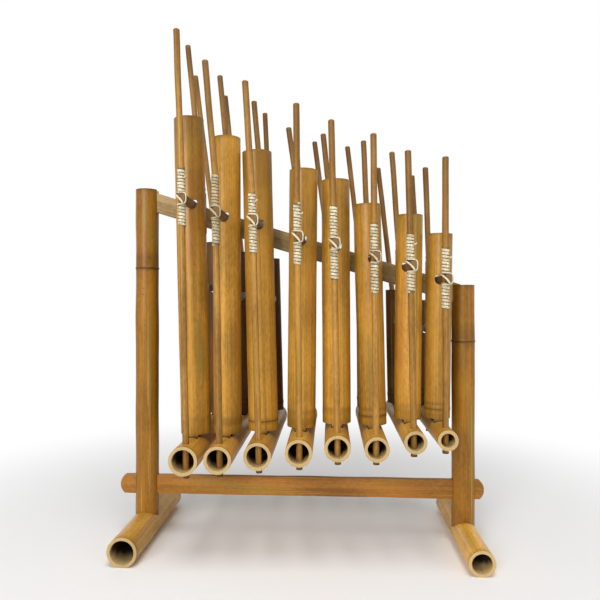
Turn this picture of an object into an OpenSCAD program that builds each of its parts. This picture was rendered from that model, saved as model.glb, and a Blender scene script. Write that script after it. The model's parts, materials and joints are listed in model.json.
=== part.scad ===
// A set of eight hanging bamboo angklungs on a stand with a sloping top rail.
// Each angklung has a base tube, three sticks, two bars, rattan lashings and
// two tone tubes that hang on the bars and rattle in slots in the base tube.
// X runs along the rails, Y runs from the player to the back, Z is up.

/* [Posts and feet] */
// Gap between each post and the large tone tube next to it, left and right
post_gap = [41.25, 9.5]; // [each 6:0.25:60]
// Diameter of the left post
left_post_d = 28.5; // [26:0.5:34]
// Diameter of the right post
right_post_d = 27.5; // [25:0.5:34]
// Wall of both posts
post_wall = 4; // [3:0.5:6]
// Height of the posts' tops over the top rail's upper edge at their axes
post_over = 0.5; // [0.5:0.5:12]
// Height of the node ring on the left post
left_post_node = 337; // [120:1:380]
// Height of the node ring on the right post
right_post_node = 247; // [120:1:270]
// Diameter of the left foot tube
left_foot_d = 34; // [28:0.5:42]
// Diameter of the right foot tube
right_foot_d = 29; // [27:0.5:40]
// Wall of both foot tubes
foot_wall = 3.5; // [3:0.5:6]
// How far the feet reach towards the player
foot_front = 88; // [60:1:120]
// How far the feet reach to the back
foot_back = 96; // [60:1:130]
// Diameter of the tenon under each post
tenon_d = 14; // [10:0.5:18]

/* [Rails] */
// Height of both rails' laths
rail_h = 23; // [20:0.5:28]
// Thickness of both rails' laths
rail_t = 8; // [6:0.5:10]
// Gap between the bottom rail and the base tube that hangs lowest
hang_clear = 31.5; // [10:0.1:60]
// Slope of the top rail in degrees
top_rail_slope = 17; // [14:0.5:20]
// Distance from each post's axis to the top rail's end in its slot
rail_into = [3, 4]; // [each 0:0.5:8]
// How far the bottom rail runs on past each post's axis
rail_over = [33, 24.5]; // [each 18:0.5:50]
// Height of the bottom rail's middle
bottom_rail_z = 65.5; // [58:0.5:75]
// Radius of the arcs that round the bottom rail's ends
rail_end_r = 15; // [12:0.5:30]
// Depth of each notch for a bar, left to right
notch_depth = [10.5, 14, 10.5, 14, 9, 10, 7.5, 10.5]; // [each 6:0.5:14]
// Radius of the crown in each notch's floor, on which a bar rocks
crown_r = 5; // [4.5:0.5:8]

/* [Cutting list, one value for each angklung from left to right] */
// Gap between neighbouring large tone tubes at their feet, one fewer
tube_gaps = [3, 8.75, 10.75, 8.5, 9.5, 9, 4.25]; // [each 3:0.25:20]
// Diameter of the base tube
base_d = [31.5, 30, 30, 29.5, 28.5, 27, 24.5, 22]; // [each 20:0.5:33]
// Height of the upper bar's middle over the base tube
upper_bar = [268, 252.5, 239.5, 217.5, 205.5, 192.5, 176.5, 161]; // [each 140:0.5:300]
// Length of the large tone tube
large_len = [368, 345, 324, 299, 282, 255, 236, 213]; // [each 200:1:400]
// Diameter of the large tone tube
large_d = [35, 33, 34.5, 33, 33, 32, 31, 29.5]; // [each 26:0.5:36]
// Diameter of the small tone tube
small_d = [28.5, 27, 28, 27, 27, 26, 25.5, 24]; // [each 20:0.5:30]
// Distance of the small tube's axis behind the rail
small_y = [88, 84, 80, 76, 72, 69, 65, 62]; // [each 56:1:100]
// Height of the front stick over the base tube
front_top = [454, 419, 392, 363, 340, 326, 301, 293]; // [each 240:1:500]
// Height of the middle stick over the base tube
middle_top = [484, 444, 407, 369, 356, 348, 327, 306]; // [each 240:1:500]
// Height of the rear stick over the base tube
rear_top = [484, 452, 421, 390, 369, 362, 324, 311]; // [each 200:1:500]
// Lean of the whole angklung to the left in degrees
lean = [1, 1, 1.5, 0.5, 1, 0.5, 1, 0]; // [each 0:0.5:2]
// Lean of the large tone tube to the left in degrees
large_lean = [1.4, 0.2, 1.4, -0.5, 0.3, 1.5, -0.5, -0.8]; // [each -1:0.1:1.6]
// Bend of the front stick to the left above the upper bar
front_bend = [1, 4, 2, 0, 0.5, 0, 0.5, 0]; // [each 0:0.5:5]
// Bend of the middle stick to the left above the upper bar
middle_bend = [5, 4.5, 3.5, 7.5, 5, 2, 3, 2]; // [each 0:0.5:8]
// Bend of the rear stick to the left above the lower bar
rear_bend = [6, 5, 1, 3, 6.5, 6, 5.5, 3.5]; // [each 0:0.5:8]
// Turns of rattan on the front stick above the upper bar
turns_above = [7, 9, 6, 8, 9, 8, 7, 7]; // [each 4:1:10]
// Turns of rattan on the front stick below the upper bar
turns_below = [6, 8, 8, 6, 9, 9, 6, 7]; // [each 4:1:10]
// Distance that the angklung is set back on the rail to hang level
balance = [-7, -6, -4.5, -3.5, -2, -1, 0, 1.5]; // [each -8:0.5:8]

/* [Angklung frame] */
// Wall of the base tubes
base_wall = 3.5; // [2.5:0.5:5]
// How far the base tubes run on in front of the front sticks
mouth_over = 14.5; // [10:0.5:30]
// How far the front sticks stand in front of the rail
front_stick = 84.5; // [80:0.5:88]
// How far the middle sticks stand behind the rail
middle_stick = 20; // [18:0.5:24]
// How far the rear stick stands behind the small tube's back
rear_gap = 14; // [12:0.5:20]
// How far the base tube runs on behind the rear stick
base_overhang = 12; // [10:1:30]
// Diameter of the sticks
stick_d = 7; // [6:0.5:8]
// Length of stick that shows below the base tube
stub = 6; // [3:0.5:10]
// Width of the bars
bar_w = 7; // [5.5:0.5:8]
// Height of the bars
bar_h = 9; // [7:0.5:10]
// How far each bar runs on past its sticks
bar_over = 4; // [3:0.5:10]
// Distance of the bars' middles to the right of the sticks' axes
bar_side = 2; // [2:0.5:4]

/* [Tone tubes] */
// How far the large tubes' axes lie in front of the rail
large_front = 36; // [34:0.5:44]
// Wall of the large tone tubes
large_wall = 3.2; // [2:0.1:4]
// Wall of the small tone tubes
small_wall = 2.1; // [1.8:0.1:4]
// Length of a small tube as a share of its large tube's, for an octave higher
octave_share = 0.64; // [0.55:0.01:0.7]
// Height of the lower bar as a share of the small tube's length
bar_share = 0.735; // [0.68:0.005:0.78]
// Height where the tongue's cut begins at the back, as a share of the length
closed_share = 0.45; // [0.35:0.01:0.55]
// Radius of the scoop that leads into the tongue
scoop_r = 60; // [40:1:90]
// How far the tongue's edges lie behind the tube's axis
tongue_back = 1; // [0:0.5:4]
// Height of a tone tube's foot over its base tube
tube_gap = 1.5; // [1.2:0.1:3]
// Height of the septum's middle in a tone tube
septum_z = 11; // [8:0.5:20]
// Thickness of every septum
septum_t = 3; // [2:0.5:5]
// Length of the prongs below the tube
prong_len = 8; // [6:0.5:10]
// Width of the prongs on a large tube
large_prong_w = 12; // [9:0.5:13]
// Width of the prongs on a small tube
small_prong_w = 10; // [8:0.5:11]
// Travel of the prongs in their slot to each side
rattle = 5; // [3:0.5:6]
// Room on each side of a bar in its half-moon hole
hole_side = 4; // [3:0.25:5]
// Room under a bar in its half-moon hole
hole_under = 2; // [1.5:0.25:3]

/* [Rattan] */
// Width of the rattan strip
strip_w = 3; // [2:0.1:4]
// Thickness of the rattan strip
strip_t = 1.1; // [0.8:0.1:1.5]
// Space between one turn of rattan and the next
strip_space = 0.5; // [0.5:0.1:1]
// Turns in each of the other windings
plain_turns = 6; // [3:1:7]

/* [Clearances] */
// Gap between a bar and its notch's floor, and a bar and its tube's hole
seat_gap = 0.3; // [0.2:0.05:0.4]
// Gap on each side of a bar in its notch
notch_play = 0.6; // [0.4:0.1:1]
// Gap on each side of a prong in its slot
prong_play = 0.6; // [0.5:0.1:1]
// Gap round pieces that are fitted tight
fit_gap = 0.1; // [0.05:0.05:0.2]

/* [Hidden] */
$fn = 64;
SET = [0:7];

// Colours of the bamboo, its cut edges and the rattan
OLD_BAMBOO = "#a87e33";
GOLD_BAMBOO = "#c29040";
PALE_BAMBOO = "#d2ad72";
STICK_BAMBOO = "#b9833c";
SHADE_BAMBOO = "#8d6328";
RATTAN = "#efe3bd";

// Small sizes of the carving
past = 1;
bar_chamfer = 1;
tip_chamfer = 1;
knuckle = 0.5;
knuckle_step = 0.5;
foot_flat = 0.5;
node_proud = 0.6;
node_round = 2.2;
ring_proud = 0.5;
ring_round = 1.4;
plug_h = 6;
tenon_end = 3;
slot_reach = 40;
base_septum = 14;
bar_to_strip = 0.6;
rib_groove = 0.4;
tip_sweep = 1.06;

// Sizes that follow from those above
mouth_front = front_stick + mouth_over;
hole_w = bar_w + 2 * hole_side;
hole_h = bar_h + hole_under;
strip_pitch = strip_w + strip_space;
winding_h = plain_turns * strip_pitch;
strip_start = bar_h / 2 + bar_to_strip + strip_w / 2;
bar_clear = strip_start + strip_w;
rib_r = stick_d / 2 + fit_gap + strip_t;

// Places along the rails: the bottom rail is centred, and the tone tubes stand
// side by side between the posts
function row_x(i) = i == 0 ? 0 : row_x(i - 1) + (large_d[i - 1] + large_d[i]) / 2 + tube_gaps[i - 1];
left_post_to_row = left_post_d / 2 + post_gap[0] + large_d[0] / 2;
row_to_right_post = large_d[7] / 2 + post_gap[1] + right_post_d / 2;
post_distance = left_post_to_row + row_x(7) + row_to_right_post;
bottom_rail_length = rail_over[0] + post_distance + rail_over[1];
left_post_x = rail_over[0] - bottom_rail_length / 2;
right_post_x = left_post_x + post_distance;
function base_x(i) = left_post_x + left_post_to_row + row_x(i);
rail_x0 = left_post_x + rail_into[0];
rail_x1 = right_post_x - rail_into[1];

// Heights over the base tube, in the angklung's own frame
function small_len(i) = octave_share * large_len[i];
function lower_rise(i) = bar_share * small_len(i);

// Places along the base tube
front_y = -front_stick;
middle_y = middle_stick;
function rear_y(i) = small_y[i] + small_d[i] / 2 + rear_gap;
function base_end(i) = rear_y(i) + stick_d / 2 + base_overhang;

// The bar's middle at the rail, from the base tube's top
function bar_dx(i) = bar_side * cos(lean[i]) - upper_bar[i] * sin(lean[i]);
function bar_dz(i) = bar_side * sin(lean[i]) + upper_bar[i] * cos(lean[i]);
function bar_x(i) = base_x(i) + bar_dx(i);

// From the top rail's upper edge at the middle down to the base tube's top, and
// the rail's height that lets the lowest base tube hang clear of the bottom rail
function hang(i) = tan(top_rail_slope) * bar_x(i) + notch_depth[i] - seat_gap - bar_h / 2 + bar_dz(i);
top_rail_z = bottom_rail_z + rail_h / 2 + hang_clear + max([for (i = SET) hang(i) + base_d[i]]);
function rail_top(x) = top_rail_z - tan(top_rail_slope) * x;
function notch_z(i) = rail_top(bar_x(i)) - notch_depth[i];
function base_z(i) = top_rail_z - hang(i);

// The whole model is centred on the floor
depth_front = min([for (i = SET) balance[i]]) - mouth_front;
depth_back = max([for (i = SET) balance[i] + base_end(i)]);
rail_y = -(depth_front + depth_back) / 2;

// Room for a prong at the end of its swing
function slot_len(d) = d + 2 * (rattle * tip_sweep + prong_play);

// Cylinder along Y from y0 to y1
module tube_y(d, y0, y1, z = 0) {
    translate([0, y0, z])
        rotate([-90, 0, 0])
            cylinder(d = d, h = y1 - y0);
}

// Swelling of a bamboo node round the Z axis
module node_ring(d, z, round_r, proud) {
    translate([0, 0, z])
        rotate_extrude()
            translate([d / 2 + proud - round_r, 0])
                circle(r = round_r);
}

// Outline in Y and Z pulled along X, w wide on the middle
module along_x(w) {
    translate([-w / 2, 0, 0])
        rotate([90, 0, 90])
            linear_extrude(w)
                children();
}

// Outline in X and Z pulled along Y from y0 to y1
module along_y(y0, y1) {
    translate([0, y1, 0])
        rotate([90, 0, 0])
            linear_extrude(y1 - y0)
                children();
}

// An angklung's own frame: the middle of its base tube's top under the rail,
// leaning to the left
module angklung(i) {
    translate([base_x(i), rail_y + balance[i], base_z(i)])
        rotate([0, -lean[i], 0])
            children();
}

// Foot tube with a planed flat underneath and a hole for the post's tenon
module foot(x, d) {
    axis_z = d / 2 - foot_flat;
    translate([x, rail_y, axis_z])
        difference() {
            tube_y(d, -foot_front, foot_back);
            tube_y(d - 2 * foot_wall, -foot_front - past, foot_back + past);
            cylinder(d = tenon_d + 2 * fit_gap, h = d);
            translate([-d / 2, -foot_front - past, -d - axis_z])
                cube([d, foot_front + foot_back + 2 * past, d]);
        }
}

// Block along the top rail's slope from x0 to x1, its top raised over the rail's
module sloping_lath(x0, x1, t, raised = 0) {
    s0 = x0 / cos(top_rail_slope);
    s1 = x1 / cos(top_rail_slope);
    translate([0, rail_y, top_rail_z])
        rotate([0, top_rail_slope, 0])
            translate([s0, -t / 2, -rail_h])
                cube([s1 - s0, t, rail_h + raised]);
}

// Post with its septum, coped on its foot tube, with a tenon below; side is 1
// for the left post and -1 for the right one
module post(x, d, node_z, foot_d, side) {
    top = rail_top(x) + post_over;
    foot_top = foot_d - foot_flat;
    axis_z = foot_d / 2 - foot_flat;
    bore = d - 2 * post_wall;
    difference() {
        translate([x, rail_y, 0]) {
            translate([0, 0, axis_z])
                cylinder(d = d, h = top - axis_z);
            node_ring(d, node_z, node_round, node_proud);
        }
        translate([x, rail_y, foot_top + plug_h])
            cylinder(d = bore, h = node_z - septum_t / 2 - foot_top - plug_h);
        translate([x, rail_y, node_z + septum_t / 2])
            cylinder(d = bore, h = top - node_z);
        translate([x, rail_y, 0])
            tube_y(foot_d + 2 * fit_gap, -foot_front, foot_back, axis_z);
        translate([x - d, rail_y - rail_t / 2 - fit_gap, bottom_rail_z - rail_h / 2 - fit_gap])
            cube([2 * d, rail_t + 2 * fit_gap, rail_h + 2 * fit_gap]);
        rail_cut(x, side);
    }
    translate([x, rail_y, foot_top - foot_wall - tenon_end])
        cylinder(d = tenon_d, h = foot_wall + tenon_end + past);
}

// Slot for the top rail in a post's inner wall, open at the top; side is 1 for
// the left post
module rail_cut(x, side) {
    far_x = x + side * slot_reach;
    sloping_lath(min(x, far_x), max(x, far_x), rail_t + 2 * fit_gap, 2 * rail_h);
}

// Sloping lath with a crowned notch for each hanging bar
module top_rail() {
    color(PALE_BAMBOO)
        difference() {
            sloping_lath(rail_x0, rail_x1, rail_t);
            for (i = SET)
                notch(i);
        }
}

// Notch's room: walls beside the bar and a floor crowned about the X axis
module notch(i) {
    notch_w = bar_w + 2 * notch_play;
    translate([bar_x(i), rail_y, notch_z(i) - crown_r])
        difference() {
            translate([-notch_w / 2, -rail_t, crown_r / 2])
                cube([notch_w, 2 * rail_t, 3 * rail_h]);
            translate([-notch_w, 0, 0])
                rotate([0, 90, 0])
                    cylinder(r = crown_r, h = 2 * notch_w);
        }
}

// Straight lath with rounded ends, through slots in both posts
module bottom_rail() {
    color(PALE_BAMBOO)
        translate([0, rail_y, bottom_rail_z])
            along_y(-rail_t / 2, rail_t / 2)
                intersection() {
                    square([bottom_rail_length, rail_h], center = true);
                    union() {
                        square([bottom_rail_length - 2 * rail_end_r, 2 * rail_h], center = true);
                        for (s = [-1, 1])
                            translate([s * (bottom_rail_length / 2 - rail_end_r), 0])
                                circle(r = rail_end_r);
                    }
                }
}

// Base tube with its septum near the back, stick holes and prong slots
module base_tube(i) {
    d = base_d[i];
    back = base_end(i);
    septum_y = back - base_septum;
    bore = d - 2 * base_wall;
    color(GOLD_BAMBOO)
        angklung(i)
            difference() {
                translate([0, 0, -d / 2]) {
                    tube_y(d, -mouth_front, back);
                    translate([0, septum_y, 0])
                        rotate([90, 0, 0])
                            node_ring(d, 0, ring_round, ring_proud);
                }
                tube_y(bore, -mouth_front - past, septum_y - septum_t / 2, -d / 2);
                tube_y(bore, septum_y + septum_t / 2, back + past, -d / 2);
                for (y = [front_y, middle_y, rear_y(i)])
                    translate([0, y, -d - past])
                        cylinder(d = stick_d + 2 * fit_gap, h = d + 2 * past);
                prong_slot(d, -large_front, large_d[i], large_prong_w);
                prong_slot(d, small_y[i], small_d[i], small_prong_w);
            }
}

// Slot through the base tube's upper wall, centred under a tone tube
module prong_slot(d, y, tube_d, prong_w) {
    slot_w = prong_w + 2 * prong_play;
    translate([-slot_w / 2, y - slot_len(tube_d) / 2, -d / 2])
        cube([slot_w, slot_len(tube_d), d]);
}

// The three sticks of an angklung
module uprights(i) {
    upper = upper_bar[i];
    lower = lower_rise(i);
    wound = plain_turns * strip_pitch;
    color(STICK_BAMBOO)
        angklung(i) {
            stick(i, front_y, front_top[i], front_bend[i], [upper],
                  upper + bar_clear + turns_above[i] * strip_pitch);
            stick(i, middle_y, middle_top[i], middle_bend[i], [lower, upper],
                  upper + bar_clear + wound);
            stick(i, rear_y(i), rear_top[i], rear_bend[i], [lower],
                  lower + bar_clear + wound);
        }
}

// Stick with half-laps for its bars and a knuckle where it bends to the left
module stick(i, y, top, bend, bars, bend_z) {
    foot_z = -base_d[i] - stub;
    upper_len = (top - bend_z) / cos(bend);
    translate([0, y, 0]) {
        difference() {
            translate([0, 0, foot_z])
                cylinder(d = stick_d, h = bend_z - knuckle_step - foot_z);
            for (z = bars)
                translate([bar_side - bar_w / 2 - fit_gap, -stick_d, z - bar_h / 2 - fit_gap])
                    cube([bar_w, 2 * stick_d, bar_h + 2 * fit_gap]);
        }
        translate([0, 0, bend_z]) {
            sphere(d = stick_d + 2 * knuckle);
            rotate([0, -bend, 0]) {
                translate([0, 0, knuckle_step])
                    cylinder(d = stick_d, h = upper_len - knuckle_step - tip_chamfer);
                translate([0, 0, upper_len - tip_chamfer])
                    cylinder(d1 = stick_d, d2 = stick_d - 2 * tip_chamfer, h = tip_chamfer);
            }
        }
    }
}

// Upper bar that rests on the rail, and lower bar for the small tube
module hanging_bars(i) {
    over = stick_d / 2 + bar_over;
    color(SHADE_BAMBOO)
        angklung(i) {
            bar(front_y - over, middle_y + over, upper_bar[i]);
            bar(middle_y - over, rear_y(i) + over, lower_rise(i));
        }
}

// Whittled bar with its long edges taken off
module bar(y0, y1, z) {
    a = bar_w / 2;
    b = bar_h / 2;
    c = bar_chamfer;
    translate([bar_side, 0, z])
        along_y(y0, y1)
            polygon([[c - a, -b], [a - c, -b], [a, c - b], [a, b - c],
                     [a - c, b], [c - a, b], [-a, b - c], [-a, c - b]]);
}

// Tone tube: closed foot with a node, scooped tongue, half-moon hole and two
// prongs. Its frame is the middle of its foot; hole is the hole's upper middle
module tone_tube(d, len, wall, prong_w, hole) {
    bore = d - 2 * wall;
    difference() {
        union() {
            cylinder(d = d, h = len);
            node_ring(d, septum_z, ring_round, ring_proud);
            intersection() {
                translate([0, 0, -prong_len])
                    cylinder(d = d, h = prong_len + past);
                cube([prong_w, 2 * d, 4 * prong_len], center = true);
            }
        }
        translate([0, 0, -prong_len - past])
            cylinder(d = bore, h = prong_len + past + septum_z - septum_t / 2);
        translate([0, 0, septum_z + septum_t / 2])
            cylinder(d = bore, h = len);
        along_x(2 * d)
            scoop(d, len);
        translate([hole[0], 0, hole[1]])
            along_y(-d, -past)
                half_moon();
    }
}

// Room behind the tongue, in Y and Z: an arc from the tube's back to its edges
module scoop(d, len) {
    arc_y = tongue_back + scoop_r;
    arc_z = closed_share * len + sqrt(scoop_r ^ 2 - (arc_y - d / 2) ^ 2);
    translate([arc_y, arc_z])
        circle(r = scoop_r, $fn = 128);
    translate([tongue_back, arc_z])
        square([2 * scoop_r, len]);
}

// Half-moon with a flat top and pointed corners, its top's middle at the origin
module half_moon() {
    r = (hole_w ^ 2 / 4 + hole_h ^ 2) / (2 * hole_h);
    difference() {
        translate([0, r - hole_h])
            circle(r = r);
        translate([-hole_w, 0])
            square([2 * hole_w, hole_w]);
    }
}

// A bar's upper middle seen from the foot of a tube that leans by turn degrees
function seen_from_foot(x, z, turn) = [x * cos(turn) + z * sin(turn), z * cos(turn) - x * sin(turn)];

// Large tone tube, ahead of the rail, with its own small lean
module large_tone_tube(i) {
    turn = large_lean[i] - lean[i];
    hole_z = upper_bar[i] + bar_h / 2 + seat_gap - tube_gap;
    color(GOLD_BAMBOO)
        angklung(i)
            translate([0, -large_front, tube_gap])
                rotate([0, -turn, 0])
                    tone_tube(large_d[i], large_len[i], large_wall, large_prong_w,
                              seen_from_foot(bar_side, hole_z, turn));
}

// Small tone tube, an octave higher, behind the rail
module small_tone_tube(i) {
    hole_z = lower_rise(i) + bar_h / 2 + seat_gap - tube_gap;
    color(SHADE_BAMBOO)
        angklung(i)
            translate([0, small_y[i], tube_gap])
                tone_tube(small_d[i], small_len(i), small_wall, small_prong_w, [bar_side, hole_z]);
}

// Rattan of one angklung: one wound strip on the front stick, which crosses
// beside the bar, and a ribbed winding above and below each other joint
module lashings(i) {
    upper = upper_bar[i];
    lower = lower_rise(i);
    color(RATTAN)
        angklung(i) {
            translate([0, front_y, upper])
                wound_strip(turns_above[i], turns_below[i]);
            for (joint = [[middle_y, upper], [middle_y, lower], [rear_y(i), lower]])
                for (side = [-1, 1])
                    translate([0, joint[0], joint[1] + side * (strip_start + winding_h / 2 - strip_w / 2)])
                        ribbed_winding();
        }
}

// Plain winding with one rib for each turn
module ribbed_winding() {
    inner = stick_d / 2 + fit_gap;
    rib = [[rib_groove, 0], [0, rib_groove], [0, strip_pitch - rib_groove]];
    ribs = [for (k = [0:plain_turns - 1], p = rib) [rib_r - p[0], k * strip_pitch + p[1]]];
    translate([0, 0, -winding_h / 2])
        rotate_extrude()
            polygon(concat([[inner, 0]], ribs, [[rib_r - rib_groove, winding_h], [inner, winding_h]]));
}

// The strip's middle line: angles in degrees, eight rings a turn. It winds down
// to cross_start, crosses on the stick's left over a quarter turn, and winds on
RINGS = 8;
cross_start = 160;
cross_turn = 90;
cross_rings = 4;
strip_r = (stick_d / 2 + fit_gap + strip_t / 2) / cos(180 / RINGS);
function ring_point(angle, z) = [strip_r * cos(angle), strip_r * sin(angle), z];
function wound_line(above, below) = concat(
    [for (k = [-above * RINGS:0])
        ring_point(cross_start + k * 360 / RINGS, strip_start - k * strip_pitch / RINGS)],
    [for (k = [1:cross_rings - 1])
        ring_point(cross_start + k * cross_turn / cross_rings, strip_start * (1 - 2 * k / cross_rings))],
    [for (k = [0:below * RINGS])
        ring_point(cross_start + cross_turn + k * 360 / RINGS, -strip_start - k * strip_pitch / RINGS)]
);

// The same line with a straight end of one strip's width at both ends
function unit(v) = v / norm(v);
function flat_tangent(p) = unit([-p[1], p[0], 0]);
function with_ends(line) = concat(
    [line[0] - strip_w * flat_tangent(line[0])],
    line,
    [line[len(line) - 1] + strip_w * flat_tangent(line[len(line) - 1])]
);

// Four corners of the flat strip at each ring of its line
function strip_corners(line) = [
    for (k = [0:len(line) - 1])
        let (
            ahead = line[min(k + 1, len(line) - 1)],
            behind = line[max(k - 1, 0)],
            out = unit([line[k][0], line[k][1], 0]),
            across = unit(cross(out, ahead - behind))
        )
        for (c = [[1, 1], [1, -1], [-1, -1], [-1, 1]])
            line[k] + across * c[0] * strip_w / 2 + out * c[1] * strip_t / 2
];

// Least distance between the strip's edges one turn apart, on their points
function strip_gap(points) =
    let (rings = len(points) / 4)
        min([for (a = [0:rings - 1])
            for (b = [a + RINGS - 2:1:min(a + RINGS + 2, rings - 1)], p = [0:3], q = [0:3])
                norm(points[4 * a + p] - points[4 * b + q])]);

// The strip as one closed body
module wound_strip(above, below) {
    points = strip_corners(with_ends(wound_line(above, below)));
    last = len(points) - 4;
    echo(least_gap_of_strip_to_itself_mm = strip_gap(points));
    sides = [for (k = [0:4:last - 4], s = [0:3])
        let (n = (s + 1) % 4)
            each [[k + s, k + 4 + n, k + 4 + s], [k + s, k + n, k + 4 + n]]];
    caps = [[2, 1, 0], [3, 2, 0], [last, last + 1, last + 2], [last, last + 2, last + 3]];
    polyhedron(points = points, faces = concat(sides, caps));
}

module left_foot() {
    color(GOLD_BAMBOO)
        foot(left_post_x, left_foot_d);
}

module right_foot() {
    color(GOLD_BAMBOO)
        foot(right_post_x, right_foot_d);
}

module left_post() {
    color(OLD_BAMBOO)
        post(left_post_x, left_post_d, left_post_node, left_foot_d, 1);
}

module right_post() {
    color(OLD_BAMBOO)
        post(right_post_x, right_post_d, right_post_node, right_foot_d, -1);
}

left_foot();
right_foot();
left_post();
right_post();
top_rail();
bottom_rail();
for (i = SET) {
    base_tube(i);
    uprights(i);
    hanging_bars(i);
    lashings(i);
    large_tone_tube(i);
    small_tone_tube(i);
}
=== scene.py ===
# %% [markdown]
# A set of eight angklungs on its stand
#
# An angklung is a bamboo frame in which two tone tubes hang loose. When it is shaken, the
# tubes knock in the slots of a base tube and sound a note and its octave. This set holds
# eight of them on a stand with a sloping rail. The construction comes from the packed
# model, and this lesson gives it bamboo, rattan, light and a camera.

# %% Load the frame
import json
import math

import bmesh
import bpy
import numpy as np
from mathutils import Matrix, Vector, noise

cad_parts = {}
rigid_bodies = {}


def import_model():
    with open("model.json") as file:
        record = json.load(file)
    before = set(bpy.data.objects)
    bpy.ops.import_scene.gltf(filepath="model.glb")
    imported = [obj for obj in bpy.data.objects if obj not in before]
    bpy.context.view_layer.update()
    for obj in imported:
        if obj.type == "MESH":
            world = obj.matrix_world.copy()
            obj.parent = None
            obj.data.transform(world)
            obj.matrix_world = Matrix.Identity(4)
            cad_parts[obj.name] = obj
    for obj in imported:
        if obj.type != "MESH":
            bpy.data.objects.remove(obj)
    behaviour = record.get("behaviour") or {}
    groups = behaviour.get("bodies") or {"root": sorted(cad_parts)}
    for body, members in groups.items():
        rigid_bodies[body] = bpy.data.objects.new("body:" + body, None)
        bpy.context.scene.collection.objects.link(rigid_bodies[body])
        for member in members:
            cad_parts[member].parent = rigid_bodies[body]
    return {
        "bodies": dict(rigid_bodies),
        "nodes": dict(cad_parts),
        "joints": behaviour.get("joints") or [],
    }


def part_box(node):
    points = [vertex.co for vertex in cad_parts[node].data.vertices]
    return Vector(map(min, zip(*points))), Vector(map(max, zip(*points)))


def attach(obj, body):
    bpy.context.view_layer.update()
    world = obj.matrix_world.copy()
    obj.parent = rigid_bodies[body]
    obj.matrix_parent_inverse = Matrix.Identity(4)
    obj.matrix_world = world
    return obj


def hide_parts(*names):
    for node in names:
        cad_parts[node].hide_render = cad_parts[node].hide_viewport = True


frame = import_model()
nodes = frame["nodes"]
kept = set(nodes.values()) | set(frame["bodies"].values())
for leftover in [o for o in bpy.data.objects if o not in kept]:
    bpy.data.objects.remove(leftover)
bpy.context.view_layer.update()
scene = bpy.context.scene
MM = 0.001
COUNT = 8

# %% [markdown]
# The camera
#
# The photograph was taken from straight in front, a little right of the middle and turned
# slightly to the left. Its height is that of the horizon, half way up the picture. A camera
# could be found by trial, but here its place was solved from the ends of the rails and the
# mouths of the tubes, so every piece falls where the photograph shows it.

# %% Camera
EYE = (0.0383, -0.7048, 0.297)
TURN_LEFT = 3.09
SENSOR = 36.0
LENS = 33.53
camera_data = bpy.data.cameras.new("camera")
camera_data.sensor_width = SENSOR
camera_data.lens = LENS
camera_data.clip_start = 0.01
camera_data.clip_end = 50.0
camera = bpy.data.objects.new("camera", camera_data)
camera.location = EYE
camera.rotation_euler = (math.radians(90), 0, math.radians(TURN_LEFT))
scene.collection.objects.link(camera)
scene.camera = camera
print("camera at", EYE, "lens", LENS)

# %% [markdown]
# Sockets in sums
#
# A shader is built from nodes joined by links. Written node by node, a sum of three terms
# takes nine lines. Here a small class wraps a node's output, so that Python's own signs add
# the Math nodes. Every other node comes from one method, which takes the node's type, its
# settings, and the values or links of its sockets. Geometry trees use the same class.

# %% One socket
class Wire:
    """A node's output that takes part in Python sums."""

    def __init__(self, graph, socket):
        self.graph = graph
        self.socket = socket

    def math(self, operation, left, right):
        return self.graph.node("ShaderNodeMath", {"operation": operation}, {0: left, 1: right})

    def __add__(self, other):
        return self.math("ADD", self, other)

    def __radd__(self, other):
        return self.math("ADD", other, self)

    def __sub__(self, other):
        return self.math("SUBTRACT", self, other)

    def __rsub__(self, other):
        return self.math("SUBTRACT", other, self)

    def __mul__(self, other):
        return self.math("MULTIPLY", self, other)

    def __rmul__(self, other):
        return self.math("MULTIPLY", other, self)

    def __truediv__(self, other):
        return self.math("DIVIDE", self, other)

    def __rtruediv__(self, other):
        return self.math("DIVIDE", other, self)

    def __pow__(self, other):
        return self.math("POWER", self, other)

    def __rpow__(self, other):
        return self.math("POWER", other, self)

    def clipped(self):
        return self.graph.node("ShaderNodeClamp", {}, {"Value": self})


# %% One method for every other node
class Graph:
    """A node tree that nodes are added to."""

    def __init__(self, tree):
        self.tree = tree

    def node(self, kind, settings, values, out=0):
        made = self.tree.nodes.new(kind)
        for name, value in settings.items():
            if name == "stops":
                self.set_stops(made.color_ramp, value)
            else:
                setattr(made, name, value)
        for key, value in values.items():
            for one in value if isinstance(value, list) else [value]:
                self.feed(made.inputs[key], one)
        return Wire(self, made.outputs[out]) if len(made.outputs) else None

    def feed(self, socket, value):
        if isinstance(value, Wire):
            self.tree.links.new(value.socket, socket)
        else:
            socket.default_value = value

    def set_stops(self, ramp, stops):
        while len(ramp.elements) < len(stops):
            ramp.elements.new(1.0)
        for element, (place, colour) in zip(ramp.elements, stops):
            element.position = place
            element.color = (*colour, 1.0)


def blend(graph, share, first, second):
    """The first colour where share is 0 and the second where it is 1."""
    first, second = [(*c, 1.0) if isinstance(c, tuple) else c for c in (first, second)]
    settings = {"data_type": "RGBA", "clamp_factor": True}
    return graph.node("ShaderNodeMix", settings, {0: share, 6: first, 7: second}, out=2)


def smooth_step(graph, value, low, high):
    """0 below low, 1 above high and a soft step between them."""
    settings = {"interpolation_type": "SMOOTHSTEP"}
    return graph.node("ShaderNodeMapRange", settings, {"Value": value, "From Min": low, "From Max": high})


print("sums of sockets are ready")
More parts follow.
